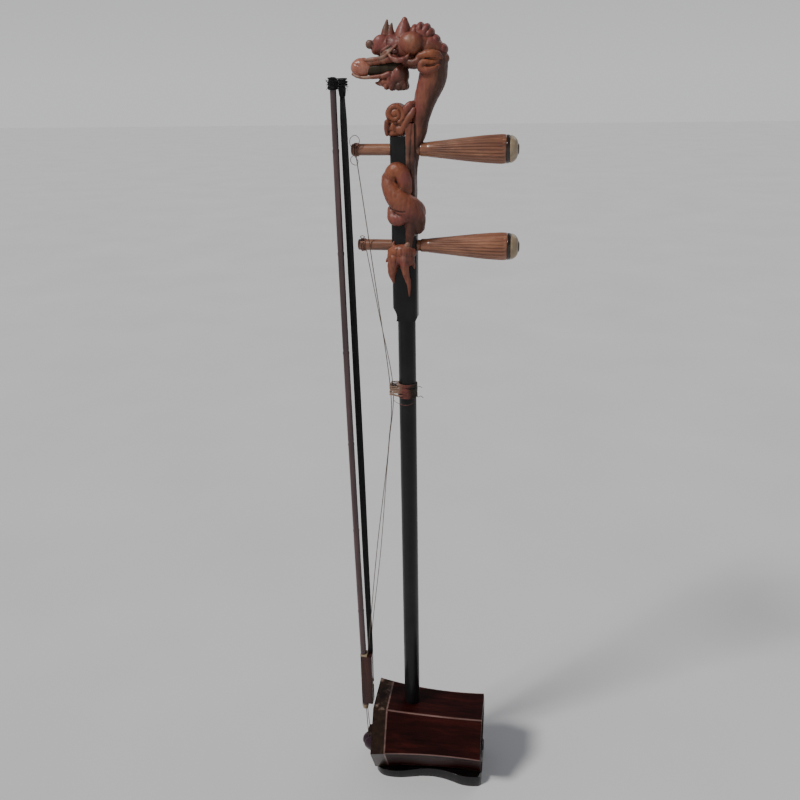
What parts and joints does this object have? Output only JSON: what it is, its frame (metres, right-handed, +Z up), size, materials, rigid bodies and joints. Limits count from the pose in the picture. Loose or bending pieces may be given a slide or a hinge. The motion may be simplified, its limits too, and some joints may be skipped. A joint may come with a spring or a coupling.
{
  "type": "erhu",
  "caption": "Two-stringed spike fiddle with a hexagonal sound box, carved dragon head, back pegs and a bow hung between its strings.",
  "frame": {"origin": "on the axis of the neck, at the flat underside of the base", "axes": "+Z up along the neck, +X to the back where the peg handles point, -X to the skin and the bow, +Y to the far side from the bow"},
  "size_m": [0.1792, 0.1082, 0.8664],
  "materials": {
    "black_lacquer": "satin black lacquer",
    "base_lacquer": "gloss black lacquer",
    "rosewood": "semi-gloss varnish",
    "inlay": "semi-gloss varnish",
    "dark_band": "semi-gloss varnish",
    "snakeskin": "scaled hide",
    "carved_wood": "oiled",
    "bead": "polished",
    "eye": "gloss",
    "peg_wood": "semi-gloss varnish",
    "peg_ring": "gloss",
    "bone": "polished bone",
    "horn": "polished",
    "string_steel": "wound steel",
    "winding": "wound steel",
    "thread": "cotton thread",
    "bridge_wood": "dark hardwood",
    "felt": "felt",
    "brass": "polished",
    "bow_bamboo": "varnished bamboo",
    "horsehair": "hair",
    "black_thread": "waxed thread",
    "frog_wood": "varnished"
  },
  "bodies": {
    "instrument": {"neck": "black_lacquer", "base": "base_lacquer", "base_screws": "brass", "stave_top": "rosewood", "stave_upper_near": "rosewood", "stave_lower_near": "rosewood", "stave_bottom": "rosewood", "stave_lower_far": "rosewood", "stave_upper_far": "rosewood", "edge_inlays": "inlay", "ring_inlay": "inlay", "snake_skin": "snakeskin", "front_band": "dark_band", "back_ring": "dark_band", "sound_window": "rosewood", "bridge": "bridge_wood", "damper_pad": "felt", "string_pins": "brass", "inner_string": "string_steel", "outer_string": "string_steel", "string_tie": "thread", "dragon_head": "carved_wood", "dragon_pearl": "bead", "dragon_eyes": "eye", "cloud_scroll": "carved_wood", "dragon_coil": "carved_wood", "dragon_claw": "carved_wood", "dragon_neck": "carved_wood"},
    "upper_tuning_peg": {"upper_peg": "peg_wood", "upper_peg_band": "peg_ring", "upper_peg_cap": "bone", "upper_peg_button": "horn", "upper_winding": "winding"},
    "lower_tuning_peg": {"lower_peg": "peg_wood", "lower_peg_band": "peg_ring", "lower_peg_cap": "bone", "lower_peg_button": "horn", "lower_winding": "winding"},
    "bow": {"bow_stick": "bow_bamboo", "bow_hair": "horsehair", "bow_tip_binding": "black_thread", "hair_knot": "black_thread", "tip_knot": "horsehair"},
    "frog": {"bow_frog": "frog_wood", "frog_ferrule": "bone", "frog_nut": "brass"},
    "tension_screw": {"bow_screw": "bone"}
  },
  "joints": [
    {"name": "upper_peg_turn", "type": "hinge", "parent": "instrument", "child": "upper_tuning_peg", "pos_m": [0, 0, 0.752], "axis": [1, 0, 0], "continuous": true},
    {"name": "lower_peg_turn", "type": "hinge", "parent": "instrument", "child": "lower_tuning_peg", "pos_m": [0, 0, 0.6615], "axis": [1, 0, 0], "continuous": true},
    {"name": "bow_slide", "type": "slide", "parent": "instrument", "child": "bow", "axis": [0.115, 0, 0.9934], "range_m": [0, 0.06]},
    {"name": "screw_turn", "type": "hinge", "parent": "bow", "child": "tension_screw", "pos_m": [-0.0568, -0.012, 0.09], "axis": [0, 0, 1], "range_deg": [0, 1440]},
    {"name": "frog_slide", "type": "slide", "parent": "bow", "child": "frog", "axis": [0, 0, -1], "range_m": [0, 0.0028]}
  ],
  "couplings": [
    {"joint": "screw_turn", "follows": "frog_slide", "rad_per_m": 8976}
  ]
}
